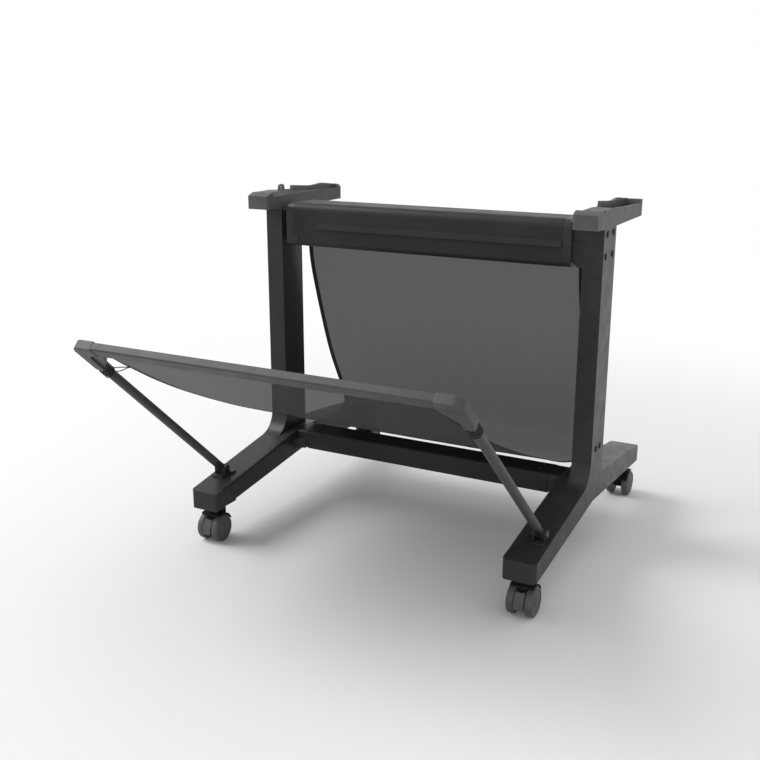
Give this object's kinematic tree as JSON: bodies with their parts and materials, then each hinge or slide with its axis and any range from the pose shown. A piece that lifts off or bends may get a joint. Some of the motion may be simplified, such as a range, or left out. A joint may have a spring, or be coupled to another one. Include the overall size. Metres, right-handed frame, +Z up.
{
  "type": "large format plotter stand",
  "caption": "Floor stand for a large format plotter: two castered legs joined by two cross beams, with a fold-up cloth catch basket in front.",
  "frame": {"origin": "on the floor, under the middle of the whole stand with its basket open", "axes": "+X to the right of someone facing the front, +Y from the basket to the back, +Z up"},
  "size_m": [0.769, 1.0448, 0.7225],
  "materials": {
    "leg_plastic": "fine-grained satin charcoal plastic",
    "cover_plastic": "smooth matt charcoal plastic",
    "arm_plastic": "satin dark grey plastic",
    "dark_plastic": "matt black plastic",
    "corner_plastic": "satin dark grey plastic",
    "hinge_plastic": "matt black plastic",
    "caster_plastic": "matt black plastic",
    "wheel_plastic": "hard moulded nylon, slightly glossy",
    "painted_beam": "satin black powder coat",
    "painted_tube": "satin black powder coat",
    "inner_steel": "zinc plated",
    "pin_steel": "satin black",
    "steel_rod": "zinc plated",
    "black_screw": "black oxide",
    "mesh_cloth": "open woven mesh, charcoal",
    "elastic": "black elastic"
  },
  "bodies": {
    "stand": {"beam_bracket_left": "dark_plastic", "beam_bracket_right": "dark_plastic", "beam_screws": "black_screw", "caster_sockets": "caster_plastic", "caster_stems": "steel_rod", "cloth_rear_panel": "mesh_cloth", "cloth_top_rod": "steel_rod", "crossbar_cap_left": "dark_plastic", "crossbar_cap_right": "dark_plastic", "crossbar_clip": "dark_plastic", "foot_bar_left": "inner_steel", "foot_bar_right": "inner_steel", "foot_cover_left": "cover_plastic", "foot_cover_right": "cover_plastic", "head_block_left": "dark_plastic", "head_block_right": "dark_plastic", "leg_post_left": "inner_steel", "leg_post_right": "inner_steel", "leg_screws": "black_screw", "leg_shell_left": "leg_plastic", "leg_shell_right": "leg_plastic", "locating_pin": "pin_steel", "lower_beam": "painted_beam", "strut_bracket_left": "hinge_plastic", "strut_bracket_right": "hinge_plastic", "strut_pins": "steel_rod", "top_arm_left": "arm_plastic", "top_arm_right": "arm_plastic", "upper_crossbar": "painted_beam", "upright_cover_left": "cover_plastic", "upright_cover_right": "cover_plastic"},
    "basket": {"bar_corner_left": "corner_plastic", "bar_corner_right": "corner_plastic", "basket_bar": "painted_tube", "cloth_front_panel": "mesh_cloth", "corner_tie_left": "elastic", "corner_tie_right": "elastic", "strut_knuckle_left": "hinge_plastic", "strut_knuckle_right": "hinge_plastic", "strut_left": "painted_tube", "strut_right": "painted_tube"},
    "brake_lever_front_left": {"brake_lever_front_left": "caster_plastic"},
    "brake_lever_front_right": {"brake_lever_front_right": "caster_plastic"},
    "caster_front_left": {"caster_axle_front_left": "steel_rod", "caster_hood_front_left": "caster_plastic"},
    "caster_front_right": {"caster_axle_front_right": "steel_rod", "caster_hood_front_right": "caster_plastic"},
    "caster_rear_left": {"caster_axle_rear_left": "steel_rod", "caster_hood_rear_left": "caster_plastic"},
    "caster_rear_right": {"caster_axle_rear_right": "steel_rod", "caster_hood_rear_right": "caster_plastic"},
    "caster_wheel_front_left_inner": {"caster_wheel_front_left_inner": "wheel_plastic"},
    "caster_wheel_front_left_outer": {"caster_wheel_front_left_outer": "wheel_plastic"},
    "caster_wheel_front_right_inner": {"caster_wheel_front_right_inner": "wheel_plastic"},
    "caster_wheel_front_right_outer": {"caster_wheel_front_right_outer": "wheel_plastic"},
    "caster_wheel_rear_left_inner": {"caster_wheel_rear_left_inner": "wheel_plastic"},
    "caster_wheel_rear_left_outer": {"caster_wheel_rear_left_outer": "wheel_plastic"},
    "caster_wheel_rear_right_inner": {"caster_wheel_rear_right_inner": "wheel_plastic"},
    "caster_wheel_rear_right_outer": {"caster_wheel_rear_right_outer": "wheel_plastic"}
  },
  "joints": [
    {"name": "basket_fold", "type": "hinge", "parent": "stand", "child": "basket", "pos_m": [0, -0.12592, 0.143], "axis": [-1, 0, 0], "range_deg": [0, 46]},
    {"name": "front_left_swivel", "type": "hinge", "parent": "stand", "child": "caster_front_left", "pos_m": [-0.348, -0.15692, 0.075], "axis": [0, 0, 1], "continuous": true},
    {"name": "front_left_inner_wheel_spin", "type": "hinge", "parent": "caster_front_left", "child": "caster_wheel_front_left_inner", "pos_m": [-0.348, -0.17392, 0.029], "axis": [1, 0, 0], "continuous": true},
    {"name": "front_left_outer_wheel_spin", "type": "hinge", "parent": "caster_front_left", "child": "caster_wheel_front_left_outer", "pos_m": [-0.348, -0.17392, 0.029], "axis": [1, 0, 0], "continuous": true},
    {"name": "front_left_brake", "type": "hinge", "parent": "caster_front_left", "child": "brake_lever_front_left", "pos_m": [-0.348, -0.18842, 0.047], "axis": [1, 0, 0], "range_deg": [0, 14]},
    {"name": "front_right_swivel", "type": "hinge", "parent": "stand", "child": "caster_front_right", "pos_m": [0.348, -0.15692, 0.075], "axis": [0, 0, 1], "continuous": true},
    {"name": "front_right_inner_wheel_spin", "type": "hinge", "parent": "caster_front_right", "child": "caster_wheel_front_right_inner", "pos_m": [0.348, -0.17392, 0.029], "axis": [1, 0, 0], "continuous": true},
    {"name": "front_right_outer_wheel_spin", "type": "hinge", "parent": "caster_front_right", "child": "caster_wheel_front_right_outer", "pos_m": [0.348, -0.17392, 0.029], "axis": [1, 0, 0], "continuous": true},
    {"name": "front_right_brake", "type": "hinge", "parent": "caster_front_right", "child": "brake_lever_front_right", "pos_m": [0.348, -0.18842, 0.047], "axis": [1, 0, 0], "range_deg": [0, 14]},
    {"name": "rear_left_swivel", "type": "hinge", "parent": "stand", "child": "caster_rear_left", "pos_m": [-0.341, 0.47208, 0.075], "axis": [0, 0, 1], "continuous": true},
    {"name": "rear_left_inner_wheel_spin", "type": "hinge", "parent": "caster_rear_left", "child": "caster_wheel_rear_left_inner", "pos_m": [-0.341, 0.48908, 0.029], "axis": [1, 0, 0], "continuous": true},
    {"name": "rear_left_outer_wheel_spin", "type": "hinge", "parent": "caster_rear_left", "child": "caster_wheel_rear_left_outer", "pos_m": [-0.341, 0.48908, 0.029], "axis": [1, 0, 0], "continuous": true},
    {"name": "rear_right_swivel", "type": "hinge", "parent": "stand", "child": "caster_rear_right", "pos_m": [0.341, 0.47208, 0.075], "axis": [0, 0, 1], "continuous": true},
    {"name": "rear_right_inner_wheel_spin", "type": "hinge", "parent": "caster_rear_right", "child": "caster_wheel_rear_right_inner", "pos_m": [0.341, 0.48908, 0.029], "axis": [1, 0, 0], "continuous": true},
    {"name": "rear_right_outer_wheel_spin", "type": "hinge", "parent": "caster_rear_right", "child": "caster_wheel_rear_right_outer", "pos_m": [0.341, 0.48908, 0.029], "axis": [1, 0, 0], "continuous": true}
  ]
}
